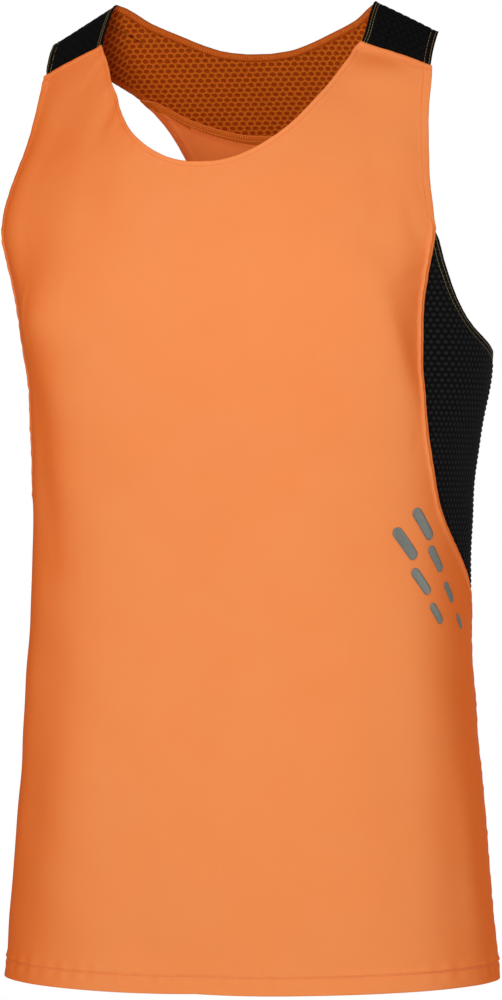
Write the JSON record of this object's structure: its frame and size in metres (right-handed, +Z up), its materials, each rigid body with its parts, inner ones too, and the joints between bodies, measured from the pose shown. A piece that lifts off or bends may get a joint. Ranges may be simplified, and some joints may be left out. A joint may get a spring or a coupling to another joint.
{
  "type": "running singlet",
  "caption": "Sleeveless running singlet with a scoop neck, racer back, mesh yoke over the shoulders and leaf-shaped mesh side panels, filled out as if worn.",
  "frame": {"origin": "in the middle between the shoulders, level with the place where the neck edge crosses the shoulder line", "axes": "+Z up, -Y towards the front of the garment, +X towards the wearer's left arm"},
  "size_m": [0.3658, 0.2324, 0.7137],
  "materials": {
    "orange_knit": "fine matt polyester knit with a soft sheen",
    "two_tone_mesh": "dimpled mesh knit, black outside and dark orange inside"
  },
  "bodies": {
    "root": {"front_panel": "orange_knit", "back_panel": "orange_knit", "back_yoke": "two_tone_mesh", "side_panel_left": "two_tone_mesh", "side_panel_right": "two_tone_mesh"}
  },
  "joints": []
}
